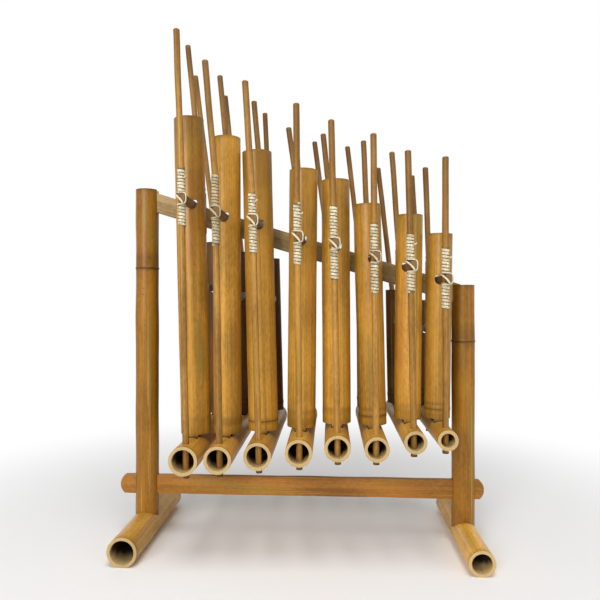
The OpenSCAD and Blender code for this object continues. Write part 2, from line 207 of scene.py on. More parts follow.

# %% [markdown]
# Bamboo
#
# A culm's skin is glossy and straw gold, with long fibres that run its whole length. Old
# bamboo has red and green streaks, darker bands at its nodes and small brown specks. Where
# it is cut, it is paler and matt, with dark fibre ends. An image could not follow each
# tube, so the pattern is worked out from an attribute called grain: a point's place in its
# own tube, with the third number along the fibres. More attributes say where the piece is
# cut, where a node band or a darker mark is near, and how deep a point lies inside a bore.
# Some of the marks and all of the depth darkening are painted shade: bands where parts meet
# or lie in shadow, and bores that darken inward.

# %% Straw, honey and shade
STRAW = (0.62, 0.350, 0.062)
HONEY = (0.48, 0.235, 0.028)
TOFFEE = (0.29, 0.120, 0.014)
RUSSET = (0.38, 0.125, 0.020)
OLIVE = (0.25, 0.165, 0.020)
CUT_STRAW = (0.50, 0.345, 0.150)
SPECK = (0.10, 0.045, 0.010)
# Near black for the painted shade deep inside a bore.
BORE_SHADE = (0.022, 0.012, 0.006)


def scaled(colour, share):
    return tuple(c * share for c in colour)


def grain_noise(graph, grain, across, along, detail=2.0):
    """Noise stretched along the fibres; across and along count its waves in a metre."""
    stretched = graph.node("ShaderNodeVectorMath", {"operation": "MULTIPLY"},
                           {0: grain, 1: (across, across, along)})
    return graph.node("ShaderNodeTexNoise", {}, {"Vector": stretched, "Scale": 1.0, "Detail": detail})


# %% The bamboo finish
def bamboo(name, skin, streak, cut_colour, gloss=0.42, speckle=1.0, stain=1.0):
    """A material of bamboo whose skin runs from skin to streak."""
    material = bpy.data.materials.new(name)
    material.use_nodes = True
    material.node_tree.nodes.clear()
    graph = Graph(material.node_tree)
    grain = graph.node("ShaderNodeAttribute", {"attribute_name": "grain"}, {}, out="Vector")
    cut = graph.node("ShaderNodeAttribute", {"attribute_name": "cut"}, {}, out="Fac")
    ring = graph.node("ShaderNodeAttribute", {"attribute_name": "ring"}, {}, out="Fac")
    deep = graph.node("ShaderNodeAttribute", {"attribute_name": "deep"}, {}, out="Fac")

    fibre = grain_noise(graph, grain, 1500, 10, 2.0)
    line = grain_noise(graph, grain, 420, 2.5, 3.0)
    broad = grain_noise(graph, grain, 110, 3.0, 2.0)
    mottle = grain_noise(graph, grain, 26, 14.0, 3.0)
    blush = grain_noise(graph, grain, 70, 4.5, 2.0)
    moss = grain_noise(graph, grain, 55, 7.0, 2.0)

    fleck = grain_noise(graph, grain, 420, 170, 2.0)

    tone = 0.45 + 1.7 * (broad - 0.5) + 2.0 * (mottle - 0.5) + 1.6 * (line - 0.5)
    tone = tone + 1.1 * (fibre - 0.5) + 1.2 * (fleck - 0.5)
    colour = blend(graph, tone, skin, streak)
    colour = blend(graph, smooth_step(graph, blush, 0.56, 0.74) * (0.32 * stain), colour, RUSSET)
    colour = blend(graph, smooth_step(graph, moss, 0.58, 0.74) * (0.5 * stain), colour, OLIVE)
    pale = smooth_step(graph, line, 0.57, 0.72) * 0.5
    colour = blend(graph, pale, colour, STRAW)
    dark_line = smooth_step(graph, grain_noise(graph, grain, 300, 1.2, 1.0), 0.66, 0.74) * 0.45
    colour = blend(graph, dark_line, colour, scaled(streak, 0.55))
    dots = smooth_step(graph, grain_noise(graph, grain, 330, 210, 1.0), 0.715, 0.76) * (0.6 * speckle)
    colour = blend(graph, dots, colour, SPECK)
    # Node bands and darker marks; the marks at knots, prong slots and stick ends are painted shade.
    colour = blend(graph, ring * (0.3 + 0.9 * mottle), colour, scaled(streak, 0.65))
    colour = blend(graph, smooth_step(graph, ring, 0.80, 0.97) * 0.7, colour, scaled(streak, 0.3))
    slow = grain_noise(graph, grain, 9, 4.0, 2.0)
    colour = graph.node("ShaderNodeVectorMath", {"operation": "SCALE"},
                        {0: colour, "Scale": 0.55 + 0.9 * slow})

    pith = grain_noise(graph, grain, 1300, 45, 1.0)
    ends = smooth_step(graph, pith, 0.50, 0.68) * 0.55
    inside = blend(graph, ends, cut_colour, scaled(cut_colour, 0.45))
    inside = blend(graph, smooth_step(graph, mottle, 0.45, 0.75) * 0.35, inside, scaled(cut_colour, 0.6))
    # The inside of a bore darkens with depth: painted shade.
    inside = blend(graph, deep * 0.97, inside, BORE_SHADE)
    colour = blend(graph, cut, colour, inside)

    rough = gloss + 0.30 * (mottle - 0.5) + 0.20 * (line - 0.5) + 0.25 * cut
    height = 0.6 * fibre + 0.8 * line + 0.5 * broad
    bump = graph.node("ShaderNodeBump", {}, {"Height": height, "Strength": 0.35, "Distance": 0.4 * MM},
                      out="Normal")
    shader = graph.node("ShaderNodeBsdfPrincipled", {}, {
        "Base Color": colour, "Roughness": rough, "Normal": bump, "Specular IOR Level": 0.25})
    graph.node("ShaderNodeOutputMaterial", {}, {"Surface": shader})
    return material


FINISH = {
    "tone": bamboo("tone_bamboo", scaled(HONEY, 1.2), scaled(HONEY, 0.58), CUT_STRAW, 0.36, 0.5, 1.5),
    # The small tubes get a darker copy of the bamboo: painted shade, for they hang behind the large tubes.
    "small": bamboo("shaded_bamboo", scaled(TOFFEE, 0.6), scaled(TOFFEE, 0.3), scaled(CUT_STRAW, 0.35), 0.5),
    "base": bamboo("base_bamboo", STRAW, scaled(HONEY, 0.85), CUT_STRAW, 0.40, 0.4),
    "post": bamboo("post_bamboo", (0.34, 0.15, 0.012), (0.19, 0.075, 0.006), CUT_STRAW, 0.34, 1.0, 1.2),
    "left_foot": bamboo("left_foot_bamboo", scaled(STRAW, 0.95), scaled(HONEY, 0.75), CUT_STRAW, 0.36),
    "right_foot": bamboo("right_foot_bamboo", scaled(STRAW, 1.35), HONEY, scaled(CUT_STRAW, 1.1), 0.36),
    "rail": bamboo("rail_bamboo", (0.40, 0.27, 0.11), (0.22, 0.125, 0.036), (0.50, 0.38, 0.21), 0.5, 0.6),
    "lath": bamboo("lath_bamboo", (0.37, 0.155, 0.022), (0.19, 0.075, 0.010), (0.50, 0.34, 0.15), 0.5, 0.8),
    "stick": bamboo("stick_bamboo", (0.42, 0.215, 0.042), (0.20, 0.088, 0.014), CUT_STRAW, 0.5, 0.3),
    "bar": bamboo("bar_bamboo", (0.22, 0.115, 0.045), (0.07, 0.033, 0.013), (0.20, 0.115, 0.052), 0.6, 2.0),
}
print("bamboo finishes:", ", ".join(FINISH))

# %% [markdown]
# Where each angklung hangs
#
# Nothing is measured twice: the hinges and nodes of the frame say where each base tube lies,
# how far each angklung leans and where its sticks and bars are. Each angklung gets its own
# axes, with the origin on top of its base tube and Z along the leaning sticks.

# %% Places from the frame
RING_PROUD = 0.5 * MM
SEAT_GAP = 0.3 * MM
BAR_HALF = 4.5 * MM
joints = {j["name"]: j for j in frame["joints"]}


def points_of(node):
    flat = np.zeros(len(nodes[node].data.vertices) * 3)
    nodes[node].data.vertices.foreach_get("co", flat)
    return flat.reshape(-1, 3)


def in_axes(points, axes):
    """The points as numbers along these axes."""
    inverse = np.array(axes.inverted())
    return points @ inverse[:3, :3].T + inverse[:3, 3]


def groups_in_y(points, gap=10 * MM):
    """The points of each separate stick or winding, from front to back."""
    order = points[np.argsort(points[:, 1])]
    breaks = np.where(np.diff(order[:, 1]) > gap)[0] + 1
    return np.split(order, breaks)


def angklung_axes(number):
    """Axes of an angklung: its origin lies on top of its base tube."""
    low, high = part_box(f"base_tube_{number}")
    lean = joints[f"rattle_large_{number}"]["axis"]
    lean_angle = math.atan2(lean[2], lean[0])
    radius = (high.z - low.z) / 2 - RING_PROUD
    turn = Matrix.Rotation(-lean_angle, 4, "Y")
    centre = Vector(((low.x + high.x) / 2, (low.y + high.y) / 2, (low.z + high.z) / 2))
    return Matrix.Translation(centre + turn @ Vector((0, 0, radius))) @ turn, radius


class Place:
    """Where the pieces of one angklung are, in its own axes."""

    def __init__(self, number):
        self.number = number
        self.axes, self.base_radius = angklung_axes(number)
        self.sticks = groups_in_y(in_axes(points_of(f"uprights_{number}"), self.axes))
        self.stick_y = [(g[:, 1].min() + g[:, 1].max()) / 2 for g in self.sticks]
        tongue = {s: self.axes.inverted() @ Vector(joints[f"rattle_{s}_{number}"]["pos_m"])
                  for s in ("large", "small")}
        self.bar_z = {s: tongue[s].z - SEAT_GAP - BAR_HALF for s in tongue}
        windings = groups_in_y(in_axes(points_of(f"lashings_{number}"), self.axes))
        self.wound = [(g[:, 2].min(), g[:, 2].max()) for g in windings]


places = [Place(n) for n in range(1, COUNT + 1)]
print("bar heights", [round(p.bar_z["large"], 4) for p in places])
print("stick places", [round(y, 4) for y in places[0].stick_y])


# %% [markdown]
# Geometry trees
#
# A tone tube follows a rule, and so does a winding, so both are grown by Geometry Nodes. A
# tree is built here node by node, with a named input for each size. It is then run on an
# empty mesh, and what it makes is kept as a plain mesh without the modifier.

# %% Build and run a geometry tree
class GeometryGraph(Graph):
    """A geometry tree with named number inputs and a material input."""

    def __init__(self, name, inlets, with_path=False):
        super().__init__(bpy.data.node_groups.new(name, "GeometryNodeTree"))
        face = self.tree.interface
        if with_path:
            face.new_socket("Path", in_out="INPUT", socket_type="NodeSocketGeometry")
        for label, value in inlets.items():
            made = face.new_socket(label, in_out="INPUT", socket_type="NodeSocketFloat")
            made.default_value = value
        face.new_socket("Material", in_out="INPUT", socket_type="NodeSocketMaterial")
        face.new_socket("Geometry", in_out="OUTPUT", socket_type="NodeSocketGeometry")
        self.entry = self.tree.nodes.new("NodeGroupInput")

    def inlet(self, label):
        return Wire(self, self.entry.outputs[label])

    def vector(self, x=0.0, y=0.0, z=0.0):
        return self.node("ShaderNodeCombineXYZ", {}, {"X": x, "Y": y, "Z": z})

    def moved(self, geometry, place, turn=(0.0, 0.0, 0.0)):
        return self.node("GeometryNodeTransform", {},
                         {"Geometry": geometry, "Translation": place, "Rotation": turn})

    def close(self, geometry):
        real = self.node("GeometryNodeRealizeInstances", {}, {"Geometry": geometry})
        painted = self.node("GeometryNodeSetMaterial", {},
                            {"Geometry": real, "Material": self.inlet("Material")})
        self.node("NodeGroupOutput", {}, {"Geometry": painted})


def grow(graph, values, material, path=None):
    """Runs a geometry tree on an empty mesh, or on a path, and returns its plain mesh."""
    host = bpy.data.objects.new("host", path or bpy.data.meshes.new("host"))
    scene.collection.objects.link(host)
    modifier = host.modifiers.new("grow", "NODES")
    modifier.node_group = graph.tree
    for item in graph.tree.interface.items_tree:
        if item.in_out == "INPUT" and item.name in values:
            modifier[item.identifier] = values[item.name]
        if item.in_out == "INPUT" and item.name == "Material":
            modifier[item.identifier] = material
    view = bpy.context.evaluated_depsgraph_get()
    mesh = bpy.data.meshes.new_from_object(host.evaluated_get(view))
    bpy.data.objects.remove(host)
    return mesh


# %% [markdown]
# A tone tube
#
# The tube is closed below by the culm's own node and open above, where most of its wall is
# cut away in a long scoop that leaves a tongue. The tongue has a half-moon hole for the bar
# and the foot has two prongs. It could be drawn face by face, but cutting it from a round
# culm is how the maker works, and booleans in the tree do the same: bore, scoop, hole and
# prongs. A slow noise moves both walls a little, because no culm is quite round.

# %% The tone tube's tree
TONE_SIZES = {
    "Diameter": 35 * MM, "Length": 0.37, "Wall": 3.2 * MM, "Septum height": 11 * MM,
    "Septum": 3 * MM, "Swell": RING_PROUD, "Cut start": 0.166, "Scoop radius": 60 * MM,
    "Tongue back": 1 * MM, "Prong width": 12 * MM, "Prong length": 8 * MM, "Hole side": 2 * MM,
    "Hole top": 0.276, "Hole width": 11.5 * MM, "Hole height": 11 * MM, "Waver": 0.3 * MM, "Seed": 0.0}
SIDES = 72
HALF_TURN = math.pi / 2
PAST = 4 * MM


def tone_tube_tree():
    graph = GeometryGraph("tone_tube", TONE_SIZES)
    size = {label: graph.inlet(label) for label in TONE_SIZES}
    radius = size["Diameter"] / 2

    def cylinder(r, low, high, rings, sides=SIDES):
        made = graph.node("GeometryNodeMeshCylinder", {}, {
            "Vertices": sides, "Side Segments": rings, "Radius": r, "Depth": high - low})
        return graph.moved(made, graph.vector(z=(low + high) / 2))

    def box(x, y, z):
        sizes = [high - low for low, high in (x, y, z)]
        middle = [(low + high) / 2 for low, high in (x, y, z)]
        made = graph.node("GeometryNodeMeshCube", {}, {"Size": graph.vector(*sizes)})
        return graph.moved(made, graph.vector(*middle))

    def cut(body, *cutters):
        return graph.node("GeometryNodeMeshBoolean", {"operation": "DIFFERENCE", "solver": "MANIFOLD"},
                          {"Mesh 1": body, "Mesh 2": list(cutters)})

    nothing = 0 * radius
    prong = size["Prong length"]
    culm = cylinder(radius, 0 - prong, size["Length"], 70)
    below = size["Septum height"] - size["Septum"] / 2
    above = size["Septum height"] + size["Septum"] / 2
    bore = cylinder(radius - size["Wall"], above, size["Length"] + PAST, 70)
    foot_bore = cylinder(radius - size["Wall"], 0 - prong - PAST, below, 8)
    tube = cut(culm, bore, foot_bore)

    position = graph.node("GeometryNodeInputPosition", {}, {})
    parts = graph.tree.nodes.new("ShaderNodeSeparateXYZ")
    graph.feed(parts.inputs[0], position)
    x, y, z = [Wire(graph, parts.outputs[k]) for k in range(3)]
    reach = (x * x + y * y) ** 0.5 + 1e-6
    off = (z - size["Septum height"]) / (1.6 * MM)
    swell = size["Swell"] * (2.718 ** (0 - off * off)) * (reach / radius)
    stretched = graph.node("ShaderNodeVectorMath", {"operation": "MULTIPLY"},
                           {0: position, 1: (38.0, 38.0, 16.0)})
    shifted = graph.node("ShaderNodeVectorMath", {"operation": "ADD"},
                         {0: stretched, 1: graph.vector(size["Seed"], size["Seed"], size["Seed"])})
    bumps = graph.node("ShaderNodeTexNoise", {}, {"Vector": shifted, "Scale": 1.0, "Detail": 1.0})
    push = (swell + 2 * size["Waver"] * (bumps - 0.5)) / reach
    offset = graph.vector(x * push, y * push, nothing)
    tube = graph.node("GeometryNodeSetPosition", {}, {"Geometry": tube, "Offset": offset})

    wide = 4 * radius
    side = size["Prong width"] / 2
    left = box((nothing - wide, nothing - side), (nothing - wide, wide), (nothing - prong - PAST, nothing))
    right = box((side, wide), (nothing - wide, wide), (nothing - prong - PAST, nothing))

    arc_y = size["Tongue back"] + size["Scoop radius"]
    rise = size["Scoop radius"] ** 2 - (arc_y - radius) ** 2
    arc_z = size["Cut start"] + rise ** 0.5
    drum = graph.node("GeometryNodeMeshCylinder", {}, {
        "Vertices": 160, "Side Segments": 1, "Radius": size["Scoop radius"], "Depth": wide})
    drum = graph.moved(drum, graph.vector(nothing, arc_y, arc_z), (0.0, HALF_TURN, 0.0))
    tail = box((nothing - wide, wide), (size["Tongue back"], arc_y + radius), (arc_z, size["Length"] + wide))

    half = size["Hole width"] / 2
    moon_radius = (half * half + size["Hole height"] ** 2) / (2 * size["Hole height"])
    moon_z = size["Hole top"] - size["Hole height"] + moon_radius
    moon = graph.node("GeometryNodeMeshCylinder", {}, {
        "Vertices": 48, "Side Segments": 1, "Radius": moon_radius, "Depth": wide})
    moon = graph.moved(moon, graph.vector(size["Hole side"], nothing - wide / 2 - MM, moon_z),
                       (HALF_TURN, 0.0, 0.0))
    lid = box((nothing - wide, wide), (nothing - 2 * wide, wide), (size["Hole top"], size["Hole top"] + wide))
    moon = cut(moon, lid)

    graph.close(cut(tube, left, right, drum, tail, moon))
    return graph


TONE_TREE = tone_tube_tree()
print("tone tube tree has", len(TONE_TREE.tree.nodes), "nodes")


# %% Bevels, attributes and smooth shading
def crisp_edges(bm, width, angle=32.0, segments=2):
    """Takes the edge off every corner that is sharper than the angle."""
    sharp = [e for e in bm.edges if len(e.link_faces) == 2 and e.calc_face_angle(0) > math.radians(angle)]
    bmesh.ops.bevel(bm, geom=sharp, offset=width, segments=segments, profile=0.6, affect="EDGES",
                    clamp_overlap=True)


def label_bamboo(mesh, radius, rings, seed, spots=(), mouths=(), up=(0, 0, 0)):
    """Writes the attributes of the bamboo finish. The mesh lies along Z, in its own axes."""
    count = len(mesh.vertices)
    flat = np.zeros(count * 3)
    mesh.vertices.foreach_get("co", flat)
    co = flat.reshape(-1, 3)
    shift = np.random.default_rng(seed).uniform(-2.0, 2.0, 3)
    grain = mesh.attributes.new("grain", "FLOAT_VECTOR", "POINT")
    grain.data.foreach_set("vector", (co + shift).astype(np.float32).ravel())
    near = np.zeros(count)
    for at, width, weight in rings:
        near = np.maximum(near, weight * np.exp(-((co[:, 2] - at) / width) ** 2))
    for spot, width, weight in spots:
        away = np.linalg.norm(co - np.array(spot), axis=1)
        near = np.maximum(near, weight * np.exp(-(away / width) ** 2))
    # Inside a bore the wall darkens with depth from the mouth: painted shade, which starts deeper on the
    # lower wall, where light falls in through the mouth.
    if mouths:
        reach = np.hypot(co[:, 0], co[:, 1]) + 1e-9
        away = np.min([np.abs(co[:, 2] - at) for at in mouths], axis=0)
        rise = co @ np.array(up) / reach
        inner = (reach < radius - 1.5 * MM) & (co[:, 2] < max(mouths))
        lit = 3 * MM + 21 * MM * np.clip(-rise, 0, 1) ** 1.3
        deep = mesh.attributes.new("deep", "FLOAT", "POINT")
        deep.data.foreach_set("value", (np.clip((away - lit) / (6 * MM), 0, 1) * inner).astype(np.float32))
        if any(up):
            near = np.maximum(near, 0.95 * ((away < 1.2 * MM) & (reach > radius - 1.1 * MM)))
    ring = mesh.attributes.new("ring", "FLOAT", "POINT")
    ring.data.foreach_set("value", near.astype(np.float32))
    cut = mesh.attributes.new("cut", "FLOAT", "FACE")
    normals = np.zeros(len(mesh.polygons) * 3)
    centres = np.zeros(len(mesh.polygons) * 3)
    mesh.polygons.foreach_get("normal", normals)
    mesh.polygons.foreach_get("center", centres)
    normals = normals.reshape(-1, 3)
    centres = centres.reshape(-1, 3)
    if radius is None:
        is_cut = np.abs(normals[:, 2]) > 0.7
    else:
        reach = np.hypot(centres[:, 0], centres[:, 1]) + 1e-9
        outward = (normals[:, :2] * centres[:, :2]).sum(axis=1) / reach
        is_cut = (outward < 0.55) | (reach < radius - 1.1 * MM)
    cut.data.foreach_set("value", is_cut.astype(np.float32))


def place_piece(mesh, name, axes, finish, body, replaced):
    """Makes the finished object of a mesh that lies in its own axes."""
    mesh.transform(axes)
    mesh.materials.clear()
    mesh.materials.append(FINISH[finish])
    mesh.polygons.foreach_set("material_index", [0] * len(mesh.polygons))
    mesh.polygons.foreach_set("use_smooth", [True] * len(mesh.polygons))
    mesh.set_sharp_from_angle(angle=math.radians(38))
    mesh.name = name
    piece = bpy.data.objects.new(name, mesh)
    scene.collection.objects.link(piece)
    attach(piece, body)
    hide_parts(*replaced)
    return piece


def bevelled(mesh, width):
    bm = bmesh.new()
    bm.from_mesh(mesh)
    bmesh.ops.remove_doubles(bm, verts=bm.verts, dist=1e-6)
    crisp_edges(bm, width)
    bmesh.ops.recalc_face_normals(bm, faces=bm.faces)
    bm.to_mesh(mesh)
    bm.free()
    return mesh


print("finishing helpers are ready")


# %% [markdown]
# The sixteen tone tubes
#
# Each tube's axes come from its CAD node: the prongs and the tip of the tongue are level
# slices, and the line through the middles of both is the tube's own lean.

# %% Make the tone tubes
OCTAVE = {"large": {"Wall": 3.2 * MM, "Prong width": 12 * MM, "finish": "tone", "seed": 10},
          "small": {"Wall": 2.1 * MM, "Prong width": 10 * MM, "finish": "small", "seed": 40}}
CLOSED_SHARE = 0.45
SEPTUM_AT = 11 * MM
PRONG = 8 * MM
TOP_SHADE = {1: 0.5, 3: 0.9, 4: 0.35, 5: 0.35}


def tube_axes(node):
    """The foot's middle and lean of a tone tube, with its diameter and length."""
    points = points_of(node)
    low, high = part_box(node)
    top = points[points[:, 2] > high.z - 1.2 * MM]
    foot = points[points[:, 2] < low.z + 0.5 * MM]
    top_x = (top[:, 0].min() + top[:, 0].max()) / 2
    foot_x = (foot[:, 0].min() + foot[:, 0].max()) / 2
    length = high.z - low.z
    lean = math.atan2(foot_x - top_x, length)
    diameter = high.y - low.y - 2 * RING_PROUD
    turn = Matrix.Rotation(-lean, 4, "Y")
    foot_middle = Vector((foot_x, (low.y + high.y) / 2, low.z)) + turn @ Vector((0, 0, PRONG))
    return Matrix.Translation(foot_middle) @ turn, diameter, length - PRONG


def tone_tube(place, size):
    kind = OCTAVE[size]
    node = f"{size}_tone_tube_{place.number}"
    axes, diameter, length = tube_axes(node)
    bar = axes.inverted() @ Vector(joints[f"rattle_{size}_{place.number}"]["pos_m"])
    seed = kind["seed"] + place.number
    values = dict(TONE_SIZES)
    values.update({"Diameter": diameter, "Length": length, "Wall": kind["Wall"],
                   "Prong width": kind["Prong width"], "Cut start": CLOSED_SHARE * length,
                   "Hole side": bar.x, "Hole top": bar.z, "Seed": float(seed)})
    mesh = bevelled(grow(TONE_TREE, values, FINISH[kind["finish"]]), 0.35 * MM)
    # The mark at -4 mm darkens each prong where it goes down into the slot of the base tube: painted shade.
    marks = [(SEPTUM_AT, 2.2 * MM, 1.0), (SEPTUM_AT + 6.5 * MM, 1.6 * MM, 0.75), (5 * MM, 1.2 * MM, 0.7),
             (1 * MM, 4 * MM, 0.5), (-4 * MM, 5 * MM, 1.1), (length, 1.0 * MM, 0.9),
             (length, 0.15, TOP_SHADE.get(place.number, 0.1))]
    label_bamboo(mesh, diameter / 2, marks, seed, mouths=[CLOSED_SHARE * length])
    return place_piece(mesh, f"{size}_tube_{place.number}_bamboo", axes, kind["finish"],
                       f"{size}_tube_{place.number}", [node])


for place in places:
    for size in OCTAVE:
        made = tone_tube(place, size)
print("last tone tube has", len(made.data.polygons), "faces")


# %% [markdown]
# Whittled and sawn pieces
#
# The posts, feet, laths, base tubes, sticks and bars keep the exact cuts of their CAD nodes.
# A copy of each is merged, its flat triangles are joined, its edges are taken off and rings
# are cut along its fibres. The rings let a slow noise move the surface as a real culm or a
# whittled stick wavers.

# %% A living copy of a CAD node
def ring_cuts(bm, spacing):
    heights = [v.co.z for v in bm.verts]
    at = min(heights) + spacing
    while at < max(heights) - spacing / 2:
        everything = bm.verts[:] + bm.edges[:] + bm.faces[:]
        bmesh.ops.bisect_plane(bm, geom=everything, dist=1e-7, plane_co=(0, 0, at), plane_no=(0, 0, 1))
        at += spacing


def waver(bm, amount, seed, pitch=0.045):
    """Moves every point sideways by slow noise along the fibres."""
    shift = Vector((seed * 7.3, seed * 3.1, seed * 5.7))
    for v in bm.verts:
        at = Vector((v.co.x * 35, v.co.y * 35, v.co.z / pitch)) + shift
        v.co.x += amount * noise.noise(at)
        v.co.y += amount * noise.noise(at + Vector((31, 17, 5)))


def living_copy(node, axes, radius, rings, finish, body, bevel=0.35, waves=0.25, spacing=9.0, seed=1,
                spots=()):
    bm = bmesh.new()
    bm.from_mesh(nodes[node].data)
    bmesh.ops.remove_doubles(bm, verts=bm.verts, dist=2e-6)
    bmesh.ops.transform(bm, matrix=axes.inverted(), verts=bm.verts)
    bmesh.ops.dissolve_limit(bm, angle_limit=math.radians(0.7), verts=bm.verts, edges=bm.edges)
    if bevel:
        crisp_edges(bm, bevel * MM)
    ring_cuts(bm, spacing * MM)
    waver(bm, waves * MM, seed)
    mesh = bpy.data.meshes.new(node)
    bm.to_mesh(mesh)
    bm.free()
    ends = [min(v.co.z for v in mesh.vertices), max(v.co.z for v in mesh.vertices)]
    up = axes.inverted().to_3x3() @ Vector((0, 0, 1))
    label_bamboo(mesh, radius, rings, seed, spots, ends if radius else (), tuple(up))
    return place_piece(mesh, f"{node}_finished", axes, finish, body, [node])


def axes_at(centre, along):
    """Axes with Z along the fibres."""
    return Matrix.Translation(centre) @ Vector(along).to_track_quat("Z", "Y").to_matrix().to_4x4()


def middle(node):
    low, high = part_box(node)
    return (low + high) / 2


# %% The stand
POST_RINGS = {"left": [(0.337, 2.4 * MM, 1.0), (0.354, 2.2 * MM, 0.8), (0.346, 9 * MM, 0.75)],
              "right": [(0.247, 2.4 * MM, 1.0), (0.256, 8 * MM, 0.7)]}
POST_SPOTS = {"left": [((0.006, -0.012, 0.349), 6 * MM, 1.0)],
              "right": [((0.009, -0.010, 0.256), 7 * MM, 1.0), ((0.002, -0.013, 0.243), 5 * MM, 0.9)]}
for seed, side in enumerate(("left", "right"), start=70):
    centre = middle(f"{side}_post")
    low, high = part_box(f"{side}_foot")
    foot_radius = (high.x - low.x) / 2
    post_low, post_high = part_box(f"{side}_post")
    post_radius = (post_high.x - post_low.x) / 2 - 0.6 * MM
    living_copy(f"{side}_post", Matrix.Translation((centre.x, centre.y, 0)), post_radius,
                POST_RINGS[side], "post", "stand", waves=0.6, seed=seed,
                spots=POST_SPOTS[side])
    foot_middle = Vector(((low.x + high.x) / 2, 0, high.z - foot_radius))
    living_copy(f"{side}_foot", axes_at(foot_middle, (0, 1, 0)), foot_radius, [], f"{side}_foot", "stand",
                bevel=0.5, seed=seed + 2)
SLOPE = 17.0
slope = (math.cos(math.radians(SLOPE)), 0, -math.sin(math.radians(SLOPE)))
living_copy("top_rail", axes_at(middle("top_rail"), slope), None, [], "rail", "stand",
            bevel=0.5, waves=0.35, seed=75)
living_copy("bottom_rail", axes_at(middle("bottom_rail"), (1, 0, 0)), None, [], "lath", "stand",
            bevel=0.8, waves=0.5, seed=76)
print("the stand is finished")

# %% The frames
JOINED = [(0, "large"), (1, "large"), (1, "small"), (2, "small")]
# Width of the painted shade around each knot.
KNOT_SHADE = 7 * MM
BAR_REACH = 7.5 * MM
for place in places:
    n = place.number
    body = f"frame_{n}"
    base_axes = place.axes @ axes_at(Vector((0, 0, -place.base_radius)), (0, 1, 0))
    living_copy(f"base_tube_{n}", base_axes, place.base_radius, [], "base", body,
                bevel=0.6, seed=80 + n)
    # The sticks darken at their lower ends under the base tube and over their upper part: painted shade.
    shades = [(min(g[:, 2].min() for g in place.sticks), 9 * MM, 1.0),
              (max(g[:, 2].max() for g in place.sticks), 0.13, 0.9)]
    spots = [(g[g[:, 2].argmax()], 5 * MM, 1.0) for g in place.sticks]
    # Each knot darkens the stick around the rattan: painted shade.
    for stick, bar in JOINED:
        spots.append(((0, place.stick_y[stick] - 3.5 * MM, place.bar_z[bar]), KNOT_SHADE, 1.0))
    living_copy(f"uprights_{n}", place.axes, None, shades, "stick", body,
                bevel=0.0, waves=0.35, spacing=5.0, seed=90 + n, spots=spots)
    bar_axes = place.axes @ axes_at(Vector((0, 0, 0)), (0, 1, 0))
    # The bar darkens where the rattan wraps it, painted shade, and in a band at each of its ends.
    darkened = [(y, KNOT_SHADE, 0.9) for y in place.stick_y]
    darkened += [(place.stick_y[0] - BAR_REACH, 3 * MM, 1.0), (place.stick_y[2] + BAR_REACH, 3 * MM, 1.0)]
    living_copy(f"hanging_bars_{n}", bar_axes, None, darkened, "bar", body,
                bevel=0.4, waves=0.3, spacing=6.0, seed=100 + n)
print("frames are finished")


# %% [markdown]
# Rattan
#
# Split rattan is a flat pale strip. The maker winds it around a stick above and below each
# bar, and a loop and a diagonal strand hold the bar's end. A winding is a spiral with a flat
# profile, which suits a tree well: number of turns, pitch and width are its inputs. Slow
# noise along the strip makes some turns stand higher and closer than others. The strip is
# dark along its edges, partly from dirt and partly as painted shade where the turns meet. A
# dark sleeve under each winding shows between the turns as painted shade, and the sides of
# each strand that turn away from the front are darkened as painted shade.

# %% The winding's tree and the strand's tree
WINDING_SIZES = {"Turns": 8.0, "Radius": 3.95 * MM, "Pitch": 3.5 * MM, "Width": 3.0 * MM,
                 "Thickness": 0.8 * MM, "Unevenness": 0.25 * MM, "Seed": 0.0}


